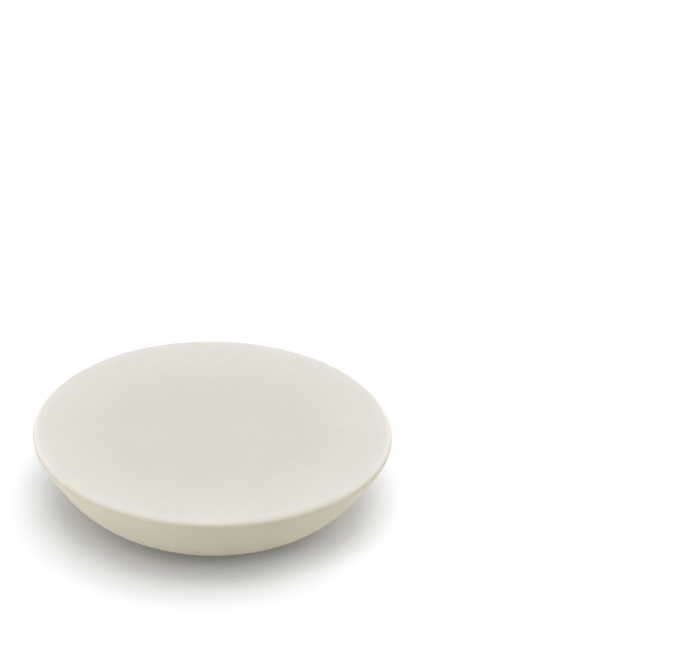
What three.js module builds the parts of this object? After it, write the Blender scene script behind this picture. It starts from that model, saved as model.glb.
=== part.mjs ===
// Shaving soap puck: one solid cake of pressed, milled soap.
// Its wide flat top is where the brush is loaded. Its bowl-shaped underside drops into a round
// shaving bowl, and a small flat foot lets it stand on a table or in a dish.
//
// Units are millimetres. +Z is up, along the puck's axis of revolution. The origin is the middle
// of the foot, on the surface that the puck stands on.

import * as THREE from 'three';

// Driving dimensions of the puck.
const DIAMETER = 87; // across the widest part of the rim
const THICKNESS = 20.5; // from the foot to the top face
const RIM_RADIUS = 1.7; // rounding between the top face and the side
const SIDE_RADIUS = 90; // gentle curve of the side under the rim
const BOWL_RADIUS = 24; // rounder curve that carries the side under to the flat foot
const RIM_UNDERCUT = THREE.MathUtils.degToRad(30); // inward lean of the side just under the rim

// Fineness of the solid.
const STEPS_AROUND = 96;
const STEPS_ABOVE_RIM = 6; // from the top face down to the widest part of the rim
const STEPS_BELOW_RIM = 2; // from there round to the start of the side
const STEPS_ON_SIDE = 4;
const STEPS_ON_BOWL = 12;

// Colour and finish of the soap.
const SOAP_COLOUR = 0xe0dbcd;
const SOAP_ROUGHNESS = 0.5;
const SOAP_METALNESS = 0;

const QUARTER_TURN = Math.PI / 2;

// Where the side hands over to the rounder bowl curve: the direction that the surface faces
// there, measured downwards from level. It is the one value that makes the arcs of the rim, side
// and bowl add up to the stated thickness.
function sideEndAngle() {
  const rimHeight = RIM_RADIUS * (1 + Math.sin(RIM_UNDERCUT));
  const belowRim = THICKNESS - rimHeight - BOWL_RADIUS + SIDE_RADIUS * Math.sin(RIM_UNDERCUT);
  return Math.asin(belowRim / (SIDE_RADIUS - BOWL_RADIUS));
}

// Points of one arc of the outline. An angle is the direction that the surface faces, measured
// upwards from level, so the start of each arc is the end of the arc before it.
function arcPoints(centre, radius, startAngle, endAngle, steps) {
  const points = [];
  for (let i = 0; i <= steps; i += 1) {
    const angle = THREE.MathUtils.lerp(startAngle, endAngle, i / steps);
    points.push(new THREE.Vector2(
      centre.x + radius * Math.cos(angle),
      centre.y + radius * Math.sin(angle),
    ));
  }
  return points;
}

// The centre of an arc of the given radius that passes through a point and is tangent there to
// a surface that faces along angle.
function tangentCentre(point, radius, angle) {
  return new THREE.Vector2(
    point.x - radius * Math.cos(angle),
    point.y - radius * Math.sin(angle),
  );
}

// Half of the puck's cross-section, from the axis at the top, round the rim, side and bowl curve,
// and back to the axis along the foot: x is the distance from the axis, and y is the height.
function puckOutline() {
  const rimCentre = new THREE.Vector2(DIAMETER / 2 - RIM_RADIUS, THICKNESS - RIM_RADIUS);
  const upperRim = arcPoints(rimCentre, RIM_RADIUS, QUARTER_TURN, 0, STEPS_ABOVE_RIM);
  const lowerRim = arcPoints(rimCentre, RIM_RADIUS, 0, -RIM_UNDERCUT, STEPS_BELOW_RIM);

  const sideStart = lowerRim[lowerRim.length - 1];
  const sideCentre = tangentCentre(sideStart, SIDE_RADIUS, -RIM_UNDERCUT);
  const sideEnd = -sideEndAngle();
  const side = arcPoints(sideCentre, SIDE_RADIUS, -RIM_UNDERCUT, sideEnd, STEPS_ON_SIDE);

  const bowlStart = side[side.length - 1];
  const bowlCentre = tangentCentre(bowlStart, BOWL_RADIUS, sideEnd);
  const bowl = arcPoints(bowlCentre, BOWL_RADIUS, sideEnd, -QUARTER_TURN, STEPS_ON_BOWL);
  bowl[bowl.length - 1].y = 0;

  return [
    new THREE.Vector2(0, THICKNESS),
    ...upperRim,
    ...lowerRim.slice(1),
    ...side.slice(1),
    ...bowl.slice(1),
    new THREE.Vector2(0, 0),
  ];
}

function soapMaterial() {
  return new THREE.MeshStandardMaterial({
    name: 'soap',
    color: SOAP_COLOUR,
    roughness: SOAP_ROUGHNESS,
    metalness: SOAP_METALNESS,
  });
}

// The whole cake is one solid of revolution. A lathe turns its outline about Y with the outline
// running from the bottom up, and a quarter turn about X then stands the axis along +Z.
function makeSoapPuck() {
  const outline = puckOutline().reverse();
  const geometry = new THREE.LatheGeometry(outline, STEPS_AROUND);
  geometry.rotateX(QUARTER_TURN);
  const puck = new THREE.Mesh(geometry, soapMaterial());
  puck.name = 'soap_puck';
  return puck;
}

const shavingSoap = new THREE.Group();
shavingSoap.name = 'shaving_soap';
shavingSoap.add(makeSoapPuck());

export default shavingSoap;
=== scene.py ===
"""A round puck of hard milled shaving soap on a white table, in soft studio light.

Units are metres. +Z is up along the puck's axis, and the origin is the middle of its flat foot.
The frame's CAD part gives the puck's width and height. The visible cake replaces it with a fine
mesh of nearly the same outline, slightly out of true as pressed soap is.
"""

import math

import bpy
import numpy as np
from mathutils import Matrix, Vector, noise


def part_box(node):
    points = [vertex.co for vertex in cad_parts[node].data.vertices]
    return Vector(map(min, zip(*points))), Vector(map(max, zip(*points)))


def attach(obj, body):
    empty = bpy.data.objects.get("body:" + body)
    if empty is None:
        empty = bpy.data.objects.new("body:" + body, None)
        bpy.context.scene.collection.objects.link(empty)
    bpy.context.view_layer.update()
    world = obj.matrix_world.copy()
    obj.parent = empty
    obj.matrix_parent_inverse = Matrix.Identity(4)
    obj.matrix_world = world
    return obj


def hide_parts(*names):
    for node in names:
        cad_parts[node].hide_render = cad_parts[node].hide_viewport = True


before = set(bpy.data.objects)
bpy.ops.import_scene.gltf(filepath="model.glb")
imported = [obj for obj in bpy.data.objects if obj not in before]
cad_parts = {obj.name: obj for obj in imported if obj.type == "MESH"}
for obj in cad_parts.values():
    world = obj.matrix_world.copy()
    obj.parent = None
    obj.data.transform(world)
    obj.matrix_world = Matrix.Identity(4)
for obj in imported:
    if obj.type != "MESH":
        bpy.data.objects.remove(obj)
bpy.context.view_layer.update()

MM = 0.001

# The puck's outline. Its width and height come from the frame. From the top down it is a rim
# rounding, a nearly straight side that leans in under the rim, and a bowl that ends at the foot.
NODE = "soap_puck"
NODE_LOW, NODE_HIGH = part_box(NODE)
PUCK_RADIUS = (NODE_HIGH.x - NODE_LOW.x) / 2
PUCK_HEIGHT = NODE_HIGH.z - NODE_LOW.z
RIM_RADIUS = 1.5 * MM
SIDE_RADIUS = 90 * MM
BOWL_RADIUS = 24 * MM
RIM_UNDERCUT = math.radians(30)

# Fineness of the mesh. A flat disc is a square grid with DISC_SIDE points to a side, bent so that
# its square rings are round. Ring k has 8k points.
DISC_RINGS = 56
DISC_SIDE = 2 * DISC_RINGS + 1
POINTS_AROUND = 8 * DISC_RINGS
FIRST_CORNER = -math.pi / 4
RIM_STEPS = 16
SIDE_STEPS = 14
BOWL_STEPS = 32

# How far the pressed cake is out of true. It is out of round from one share of its radius to
# another, and a larger noise radius would put more bulges round it.
SKIN = 0.02 * MM
OUT_OF_ROUND = 0.10 * MM
OUT_OF_ROUND_FROM = 0.3
OUT_OF_ROUND_TO = 0.9
OUT_OF_ROUND_NOISE_RADIUS = 0.9
TOP_DISH = 0.18 * MM
DISH_FACING_FROM = 0.8
WAVE_HEIGHT = 0.035 * MM
WAVE_LENGTH = 14 * MM
FOOT_KEPT_TRUE = 3 * MM
NOISE_STEP = Vector((7.1, 3.7, 5.3))
ROUNDNESS_SEED = 1
WAVE_SEED = 2
NEARLY_ZERO = 1e-9

# The soap's colours: the side darker and creamier as painted shade, the top paler towards its rim
# as painted light and palest at the edge as a painted highlight, and the specks.
SHADED_SIDE_COLOUR = (0.524, 0.469, 0.352, 1.0)
TOP_COLOUR = (0.626, 0.585, 0.4925, 1.0)
RIM_LIGHT_COLOUR = (0.676, 0.634, 0.547, 1.0)
RIM_HIGHLIGHT_COLOUR = (0.682, 0.645, 0.575, 1.0)
FLECK_COLOUR = (0.50, 0.44, 0.34, 1.0)

# Where one colour gives way to the next: the painted light and highlight across the top as shares
# of the puck's radius, and the painted shade of the side down the rim as depths below the top.
RIM_LIGHT_FROM = 0.45
RIM_LIGHT_TO = 1.02
RIM_HIGHLIGHT_FROM = 0.90
RIM_HIGHLIGHT_TO = 0.965
TOP_LIT_DEPTH = 0.05 * MM
SIDE_SHADE_DEPTH = 1.35 * MM

# The soap's own texture: soft clouds, drawn-out bent streaks from the mill, a fine grain, and
# scattered specks that are also tiny pits.
CLOUD_SIZE = 16 * MM
CLOUD_DETAIL = 2.0
STREAK_WIDTH = 1.6 * MM
STREAK_LENGTH = 14 * MM
STREAK_FLATTENING = 0.4
STREAK_ANGLE = math.radians(35)
STREAK_DETAIL = 2.0
BEND_SIZE = 28 * MM
BEND_SHIFT = 14 * MM
BEND_DETAIL = 1.0
GRAIN_SIZE = 0.7 * MM
GRAIN_DETAIL = 3.0
NOISE_ROUGHNESS = 0.5
PATTERN_MIDDLE = 0.5
SPOT_SPACING = 4.5 * MM
SPOT_RADIUS = 0.35 * MM
SPOT_SOFT_INSIDE = 0.1 * MM
SPOT_SOFT_OUTSIDE = 0.05 * MM

# How strongly each pattern shows: in the colour and the roughness as a share of them, and in the
# relief as a height.
COLOUR_SWINGS = (("cloud", 0.025), ("streak", 0.028), ("grain", 0.014))
FLECK_DEPTH = 0.25
ROUGHNESS = 0.48
ROUGHNESS_SWINGS = (("cloud", 0.10), ("streak", 0.06), ("grain", 0.12))
GRAIN_HEIGHT = 0.008 * MM
STREAK_HEIGHT = 0.01 * MM
PIT_DEPTH = 0.05 * MM

# Light goes a little way into soap, and red light furthest.
SOAP_IOR = 1.46
SCATTER_SHARES = (1.0, 0.85, 0.65)
SCATTER_DEPTH = 1.2 * MM

# The table, a wide flat disc.
TABLE_RADIUS = 5.0
TABLE_CORNERS = 96
TABLE_COLOUR = (0.95, 0.95, 0.95, 1.0)
TABLE_ROUGHNESS = 0.9

# The camera looks down on the puck from the front, a little off level. Its long lens and its
# sensor are given in millimetres.
LENS = 200.0
SENSOR = 36.0
CAMERA_TILT = math.radians(29.27)
CAMERA_ROLL = math.radians(1.80)
CAMERA_DISTANCE = 1028.5 * MM
AIM = Vector((32.35 * MM, 89.92 * MM, 0.0))

# The light tent: how brightly its walls glow, and the heights above the horizon where their glow
# changes. The wall behind is dimmer low down, and a thin strip hides the horizon all round.
WALL_BEHIND = 2.25
WALL_LEFT = 0.6
WALL_RIGHT = 1.6
WALL_FADE_START = math.radians(18)
WALL_FADE_END = math.radians(42)
LOW_WALL_SHARE = 0.45
LOW_WALL_TOP = math.radians(4)
FULL_WALL_START = math.radians(14)
STRIP_GLOW = 1.1
STRIP_TOP = math.radians(3)
STRIP_FADE_END = math.radians(6)

# Tints of the lights.
WHITE_LIGHT = (1.0, 1.0, 1.0)
COOL_LIGHT = (0.96, 1.0, 1.07)
BLUISH_LIGHT = (0.93, 1.0, 1.13)


def arc(centre, radius, start, end, steps):
    """Points (distance from the axis, height, facing angle) of an arc, after its first."""
    points = []
    for step in range(1, steps + 1):
        angle = start + (end - start) * step / steps
        across = centre[0] + radius * math.cos(angle)
        up = centre[1] + radius * math.sin(angle)
        points.append((across, up, angle))
    return points


def tangent_centre(point, radius):
    """Centre of an arc that leaves a point of the outline in the direction it already has."""
    across, up, angle = point
    return across - radius * math.cos(angle), up - radius * math.sin(angle)


def puck_outline():
    """The outline from the top face's edge round to the foot's edge."""
    rim_height = RIM_RADIUS * (1 + math.sin(RIM_UNDERCUT))
    below_rim = PUCK_HEIGHT - rim_height - BOWL_RADIUS + SIDE_RADIUS * math.sin(RIM_UNDERCUT)
    side_end = -math.asin(below_rim / (SIDE_RADIUS - BOWL_RADIUS))
    stretches = (
        (RIM_RADIUS, math.pi / 2, -RIM_UNDERCUT, RIM_STEPS),
        (SIDE_RADIUS, -RIM_UNDERCUT, side_end, SIDE_STEPS),
        (BOWL_RADIUS, side_end, -math.pi / 2, BOWL_STEPS),
    )
    points = [(PUCK_RADIUS - RIM_RADIUS, PUCK_HEIGHT, math.pi / 2)]
    for radius, start, end, steps in stretches:
        points += arc(tangent_centre(points[-1], radius), radius, start, end, steps)
    return points


def disc_places():
    """Places on a disc of nested rings, as (share of the radius, angle), in rows of a square grid.

    The square's rings become circles, so the disc is all quads and has no pole.
    """
    places = []
    for row in range(-DISC_RINGS, DISC_RINGS + 1):
        for column in range(-DISC_RINGS, DISC_RINGS + 1):
            ring = max(abs(row), abs(column))
            if ring == 0:
                angle = 0.0
            elif abs(column) >= abs(row):
                middle = 0.0 if column > 0 else math.pi
                angle = middle + math.pi / 4 * row / column
            else:
                middle = math.pi / 2 if row > 0 else -math.pi / 2
                angle = middle - math.pi / 4 * column / row
            places.append((ring / DISC_RINGS, angle))
    return places


def disc_edge(first):
    """A disc's outermost ring, anticlockwise from its first corner, as indices of its points."""
    last = DISC_SIDE - 1
    edge = [row * DISC_SIDE + last for row in range(last)]
    edge += [last * DISC_SIDE + column for column in range(last, 0, -1)]
    edge += [row * DISC_SIDE for row in range(last, 0, -1)]
    edge += list(range(last))
    return [first + index for index in edge]


def disc_faces(first, faces_up):
    """Quads of a disc whose points start at index first."""
    faces = []
    for row in range(DISC_SIDE - 1):
        for column in range(DISC_SIDE - 1):
            corner = first + row * DISC_SIDE + column
            face = (corner, corner + 1, corner + DISC_SIDE + 1, corner + DISC_SIDE)
            faces.append(face if faces_up else face[::-1])
    return faces


def band(upper, lower):
    """Quads between two rings of points."""
    quads = []
    for step in range(POINTS_AROUND):
        after = (step + 1) % POINTS_AROUND
        quads.append((upper[step], lower[step], lower[after], upper[after]))
    return quads


def puck_surface():
    """Points, facing directions and faces of the perfect puck, before it is put out of true."""
    outline = puck_outline()
    places = disc_places()
    points = []
    normals = []

    top_radius = outline[0][0]
    foot_radius = outline[-1][0]
    for radius, height, up in ((top_radius, PUCK_HEIGHT, 1.0), (foot_radius, 0.0, -1.0)):
        for share, angle in places:
            across = radius * share
            points.append((across * math.cos(angle), across * math.sin(angle), height))
            normals.append((0.0, 0.0, up))
    faces = disc_faces(0, True) + disc_faces(len(places), False)

    ring_above = disc_edge(0)
    for across, height, facing in outline[1:-1]:
        first = len(points)
        level = math.cos(facing)
        for step in range(POINTS_AROUND):
            angle = FIRST_CORNER + 2 * math.pi * step / POINTS_AROUND
            points.append((across * math.cos(angle), across * math.sin(angle), height))
            normals.append((level * math.cos(angle), level * math.sin(angle), math.sin(facing)))
        ring = list(range(first, first + POINTS_AROUND))
        faces += band(ring_above, ring)
        ring_above = ring
    faces += band(ring_above, disc_edge(len(places)))
    return np.array(points), np.array(normals), faces


def smooth(low, high, value):
    """0 below low, 1 above high, and a smooth rise between them."""
    share = np.clip((value - low) / (high - low), 0, 1)
    return share * share * (3 - 2 * share)


def noise_at(points, length, seed):
    """Smooth noise from about 0 to 1 at each point, with features about length across."""
    offset = seed * NOISE_STEP
    values = [noise.noise(Vector(point) / length + offset) for point in points]
    return (1 + np.array(values)) / 2


def put_out_of_true(points, normals):
    """Moves the perfect surface to the pressed cake's: always inwards, never past the frame."""
    across = np.hypot(points[:, 0], points[:, 1])
    outwards = points[:, :2] / np.maximum(across, NEARLY_ZERO)[:, None]
    circle = np.column_stack([outwards * OUT_OF_ROUND_NOISE_RADIUS, np.zeros(len(points))])
    outer = smooth(OUT_OF_ROUND_FROM * PUCK_RADIUS, OUT_OF_ROUND_TO * PUCK_RADIUS, across)
    out_of_round = OUT_OF_ROUND * noise_at(circle, 1.0, ROUNDNESS_SEED) * outer

    on_top = smooth(DISH_FACING_FROM, 1.0, normals[:, 2])
    dish = TOP_DISH * on_top * (1 - (across / PUCK_RADIUS) ** 2)

    above_foot = smooth(0.0, FOOT_KEPT_TRUE, points[:, 2])
    waves = WAVE_HEIGHT * noise_at(points, WAVE_LENGTH, WAVE_SEED)

    moved = points.copy()
    moved[:, :2] -= outwards * out_of_round[:, None]
    moved[:, 2] -= dish
    moved -= normals * ((waves + SKIN) * above_foot)[:, None]
    return moved


def add_object(name, data):
    """An object in the scene that holds a mesh, a camera or a light."""
    added = bpy.data.objects.new(name, data)
    bpy.context.scene.collection.objects.link(added)
    return added


def make_puck():
    """The visible cake of soap, which replaces the CAD puck."""
    points, normals, faces = puck_surface()
    moved = put_out_of_true(points, normals)
    mesh = bpy.data.meshes.new("soap_cake")
    mesh.from_pydata(moved.tolist(), [], faces)
    mesh.polygons.foreach_set("use_smooth", [True] * len(mesh.polygons))
    mesh.update()
    mesh.materials.append(soap_material())
    puck = add_object("soap_cake", mesh)
    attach(puck, "root")
    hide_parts(NODE)
    return puck


def connect(tree, socket, value):
    """Links another node's socket to a node's input, or sets the input to a plain value."""
    if isinstance(value, bpy.types.NodeSocket):
        tree.links.new(value, socket)
    else:
        socket.default_value = value


def add_node(tree, kind, inputs, **settings):
    """Adds a node with its settings, and connects its inputs, given by name or number."""
    node = tree.nodes.new(kind)
    for name, value in settings.items():
        setattr(node, name, value)
    for name, value in inputs.items():
        connect(tree, node.inputs[name], value)
    return node


def calculate(tree, operation, first, second=0.0):
    """One step of arithmetic on values."""
    node = add_node(tree, "ShaderNodeMath", {0: first, 1: second}, operation=operation)
    return node.outputs["Value"]


def calculate_vector(tree, operation, first, second):
    """One step of arithmetic on vectors."""
    node = add_node(tree, "ShaderNodeVectorMath", {0: first, 1: second}, operation=operation)
    return node.outputs["Vector"]


def ramp(tree, value, low, high, start=0.0, end=1.0):
    """Start up to low, end from high on, and a smooth change between them."""
    inputs = {"Value": value, "From Min": low, "From Max": high, "To Min": start, "To Max": end}
    node = add_node(tree, "ShaderNodeMapRange", inputs, interpolation_type="SMOOTHSTEP")
    return node.outputs["Result"]


def blend(tree, share, first, second, kind="MIX"):
    """A mix of two colours, from the first at share 0 to the second at share 1."""
    node = add_node(tree, "ShaderNodeMix", {0: share}, data_type="RGBA", blend_type=kind)
    first_colour, second_colour = [socket for socket in node.inputs if socket.type == "RGBA"]
    connect(tree, first_colour, first)
    connect(tree, second_colour, second)
    return next(socket for socket in node.outputs if socket.type == "RGBA")


def mottle(tree, place, size, detail):
    """A cloudy noise node, even on average, with clouds about size across."""
    inputs = {"Vector": place, "Scale": 1 / size, "Detail": detail, "Roughness": NOISE_ROUGHNESS}
    return add_node(tree, "ShaderNodeTexNoise", inputs)


def streak_pattern(tree, place):
    """Streaks along one slanting direction, bent by a slow drift."""
    drift = mottle(tree, place, BEND_SIZE, BEND_DETAIL).outputs["Color"]
    centred = calculate_vector(tree, "SUBTRACT", drift, (PATTERN_MIDDLE,) * 3)
    shift = calculate_vector(tree, "MULTIPLY", centred, (BEND_SHIFT,) * 3)
    bent = calculate_vector(tree, "ADD", place, shift)
    inputs = {"Vector": bent, "Angle": STREAK_ANGLE}
    turned = add_node(tree, "ShaderNodeVectorRotate", inputs, rotation_type="Z_AXIS")
    scale = (1.0, STREAK_WIDTH / STREAK_LENGTH, STREAK_FLATTENING)
    drawn_out = calculate_vector(tree, "MULTIPLY", turned.outputs["Vector"], scale)
    return mottle(tree, drawn_out, STREAK_WIDTH, STREAK_DETAIL).outputs["Fac"]


def spot_pattern(tree, place):
    """Scattered specks of different sizes: 1 inside a speck, and 0 outside."""
    spots = add_node(tree, "ShaderNodeTexVoronoi", {"Vector": place, "Scale": 1 / SPOT_SPACING})
    distance = calculate(tree, "MULTIPLY", spots.outputs["Distance"], SPOT_SPACING)
    chance = add_node(tree, "ShaderNodeSeparateColor", {"Color": spots.outputs["Color"]})
    radius = calculate(tree, "MULTIPLY", chance.outputs["Red"], SPOT_RADIUS)
    past_edge = calculate(tree, "SUBTRACT", distance, radius)
    return ramp(tree, past_edge, -SPOT_SOFT_INSIDE, SPOT_SOFT_OUTSIDE, 1.0, 0.0)


def soap_patterns(tree, place):
    """The patterns in the soap that its colour, gloss and relief share, each from 0 to 1."""
    return {
        "cloud": mottle(tree, place, CLOUD_SIZE, CLOUD_DETAIL).outputs["Fac"],
        "streak": streak_pattern(tree, place),
        "grain": mottle(tree, place, GRAIN_SIZE, GRAIN_DETAIL).outputs["Fac"],
        "spot": spot_pattern(tree, place),
    }


def vary(tree, patterns, swings):
    """1 plus each pattern's swing, which is its amount where the pattern is 1."""
    total = 1.0
    for name, amount in swings:
        off_middle = calculate(tree, "SUBTRACT", patterns[name], PATTERN_MIDDLE)
        swing = calculate(tree, "MULTIPLY", off_middle, 2 * amount)
        total = calculate(tree, "ADD", total, swing)
    return total


def soap_colour(tree, place, patterns):
    """Painted shade on the side, painted light towards the top's rim, and a painted highlight at
    its edge.
    """
    height = add_node(tree, "ShaderNodeSeparateXYZ", {"Vector": place}).outputs["Z"]
    flat_place = calculate_vector(tree, "MULTIPLY", place, (1.0, 1.0, 0.0))
    length = add_node(tree, "ShaderNodeVectorMath", {0: flat_place}, operation="LENGTH")
    across = length.outputs["Value"]

    # The top pales towards its rim: painted light.
    rim_light = ramp(tree, across, RIM_LIGHT_FROM * PUCK_RADIUS, RIM_LIGHT_TO * PUCK_RADIUS)
    # Palest in a narrow band at the rim's edge: a painted highlight.
    rim_highlight = ramp(tree, across, RIM_HIGHLIGHT_FROM * PUCK_RADIUS, RIM_HIGHLIGHT_TO * PUCK_RADIUS)
    # Down the rim the top's colour gives way to the side's darker, creamier colour, which is
    # painted shade.
    on_top = ramp(tree, height, PUCK_HEIGHT - SIDE_SHADE_DEPTH, PUCK_HEIGHT - TOP_LIT_DEPTH)
    top = blend(tree, rim_light, TOP_COLOUR, RIM_LIGHT_COLOUR)
    top = blend(tree, rim_highlight, top, RIM_HIGHLIGHT_COLOUR)
    soap = blend(tree, on_top, SHADED_SIDE_COLOUR, top)

    shade = vary(tree, patterns, COLOUR_SWINGS)
    soap = blend(tree, 1.0, soap, shade, "MULTIPLY")
    fleck = calculate(tree, "MULTIPLY", patterns["spot"], FLECK_DEPTH)
    return blend(tree, fleck, soap, FLECK_COLOUR)


def soap_roughness(tree, patterns):
    """A satin gloss that the patterns break up."""
    return calculate(tree, "MULTIPLY", vary(tree, patterns, ROUGHNESS_SWINGS), ROUGHNESS)


def soap_relief(tree, patterns):
    """The fine relief of pressed soap, as a bumped surface direction.

    Its heights are true ones, so the bump has a distance and a strength of 1.
    """
    grain = calculate(tree, "MULTIPLY", patterns["grain"], GRAIN_HEIGHT)
    streak = calculate(tree, "MULTIPLY", patterns["streak"], STREAK_HEIGHT)
    pit = calculate(tree, "MULTIPLY", patterns["spot"], PIT_DEPTH)
    height = calculate(tree, "SUBTRACT", calculate(tree, "ADD", grain, streak), pit)
    bump = add_node(tree, "ShaderNodeBump", {"Height": height, "Distance": 1.0, "Strength": 1.0})
    return bump.outputs["Normal"]


def soap_material():
    """Hard milled soap: satin, slightly translucent, and not quite even in colour."""
    material = bpy.data.materials.new("soap")
    material.use_nodes = True
    tree = material.node_tree
    place = add_node(tree, "ShaderNodeTexCoord", {}).outputs["Object"]
    patterns = soap_patterns(tree, place)
    inputs = tree.nodes["Principled BSDF"].inputs
    connect(tree, inputs["Base Color"], soap_colour(tree, place, patterns))
    connect(tree, inputs["Roughness"], soap_roughness(tree, patterns))
    connect(tree, inputs["Normal"], soap_relief(tree, patterns))
    inputs["IOR"].default_value = SOAP_IOR
    inputs["Subsurface Weight"].default_value = 1.0
    inputs["Subsurface Radius"].default_value = SCATTER_SHARES
    inputs["Subsurface Scale"].default_value = SCATTER_DEPTH
    return material


def table_material():
    """Matt white."""
    material = bpy.data.materials.new("white_table")
    material.use_nodes = True
    inputs = material.node_tree.nodes["Principled BSDF"].inputs
    inputs["Base Color"].default_value = TABLE_COLOUR
    inputs["Roughness"].default_value = TABLE_ROUGHNESS
    inputs["Specular IOR Level"].default_value = 0.0
    return material


def make_table():
    """The table top that the puck stands on."""
    points = []
    for corner in range(TABLE_CORNERS):
        angle = 2 * math.pi * corner / TABLE_CORNERS
        points.append((TABLE_RADIUS * math.cos(angle), TABLE_RADIUS * math.sin(angle), 0.0))
    mesh = bpy.data.meshes.new("table_top")
    mesh.from_pydata(points, [], [tuple(range(TABLE_CORNERS))])
    mesh.materials.append(table_material())
    table = add_object("table_top", mesh)
    return table


def make_camera():
    """The camera, tilted down and then rolled about its own line of sight."""
    forward = Vector((0.0, math.cos(CAMERA_TILT), -math.sin(CAMERA_TILT)))
    right = Vector((1.0, 0.0, 0.0))
    up = right.cross(forward)
    rolled_right = math.cos(CAMERA_ROLL) * right + math.sin(CAMERA_ROLL) * up
    rolled_up = math.cos(CAMERA_ROLL) * up - math.sin(CAMERA_ROLL) * right
    turn = Matrix((rolled_right, rolled_up, -forward)).transposed()
    data = bpy.data.cameras.new("camera")
    data.lens = LENS
    data.sensor_width = SENSOR
    camera = add_object("camera", data)
    camera.matrix_world = Matrix.Translation(AIM - forward * CAMERA_DISTANCE) @ turn.to_4x4()
    bpy.context.scene.camera = camera
    return camera


def wall(tree, towards, brightness):
    """The glow of a wall, brightest straight towards it and nothing on the other side."""
    return calculate(tree, "MULTIPLY", calculate(tree, "MAXIMUM", towards), brightness)


def make_world():
    """A white tent: glowing walls behind and beside the table, and a strip at the horizon."""
    world = bpy.data.worlds.new("light_tent")
    bpy.context.scene.world = world
    world.use_nodes = True
    tree = world.node_tree
    direction = add_node(tree, "ShaderNodeTexCoord", {}).outputs["Generated"]
    parts = add_node(tree, "ShaderNodeSeparateXYZ", {"Vector": direction}).outputs
    up = parts["Z"]

    rise = ramp(tree, up, math.sin(LOW_WALL_TOP), math.sin(FULL_WALL_START), LOW_WALL_SHARE)
    behind = calculate(tree, "MULTIPLY", wall(tree, parts["Y"], WALL_BEHIND), rise)
    right = wall(tree, parts["X"], WALL_RIGHT)
    left = wall(tree, calculate(tree, "MULTIPLY", parts["X"], -1.0), WALL_LEFT)
    walls = calculate(tree, "ADD", behind, calculate(tree, "ADD", left, right))
    fade = ramp(tree, up, math.sin(WALL_FADE_START), math.sin(WALL_FADE_END), 1.0, 0.0)
    strip = ramp(tree, up, math.sin(STRIP_TOP), math.sin(STRIP_FADE_END), STRIP_GLOW, 0.0)
    glow = calculate(tree, "MAXIMUM", calculate(tree, "MULTIPLY", walls, fade), strip)
    inputs = tree.nodes["Background"].inputs
    connect(tree, inputs["Strength"], glow)
    inputs["Color"].default_value = (*COOL_LIGHT, 1.0)
    return world


def lamp(name, azimuth, elevation, spread, strength, tint):
    """A large soft light far away. Its place and its width across the sky are in degrees.

    Azimuth 0 is behind the puck as the camera sees it, and 90 is to its right.
    """
    data = bpy.data.lights.new(name, "SUN")
    data.energy = strength
    data.angle = math.radians(spread)
    data.color = tint
    light = add_object(name, data)
    turn = math.radians(azimuth)
    rise = math.radians(elevation)
    level = math.cos(rise)
    towards = Vector((math.sin(turn) * level, math.cos(turn) * level, math.sin(rise)))
    light.rotation_mode = "QUATERNION"
    light.rotation_quaternion = towards.to_track_quat("Z", "Y")
    return light


def make_lamps():
    """Four soft lamps overhead, and one low on the left that fills the side.

    The low lamp makes no reflection, because it would burn out the rim as seen from the right.
    """
    lamp("overhead", azimuth=0, elevation=90, spread=50, strength=1.03, tint=COOL_LIGHT)
    lamp("front_overhead", azimuth=180, elevation=62, spread=40, strength=1.09, tint=WHITE_LIGHT)
    lamp("right_overhead", azimuth=90, elevation=62, spread=40, strength=0.41, tint=WHITE_LIGHT)
    lamp("back_overhead", azimuth=0, elevation=62, spread=40, strength=0.22, tint=WHITE_LIGHT)
    low = lamp("left_low", azimuth=254, elevation=5, spread=10, strength=1.42, tint=BLUISH_LIGHT)
    low.visible_glossy = False


make_camera()
make_puck()
make_table()
make_world()
make_lamps()
bpy.context.scene.view_settings.view_transform = "Standard"
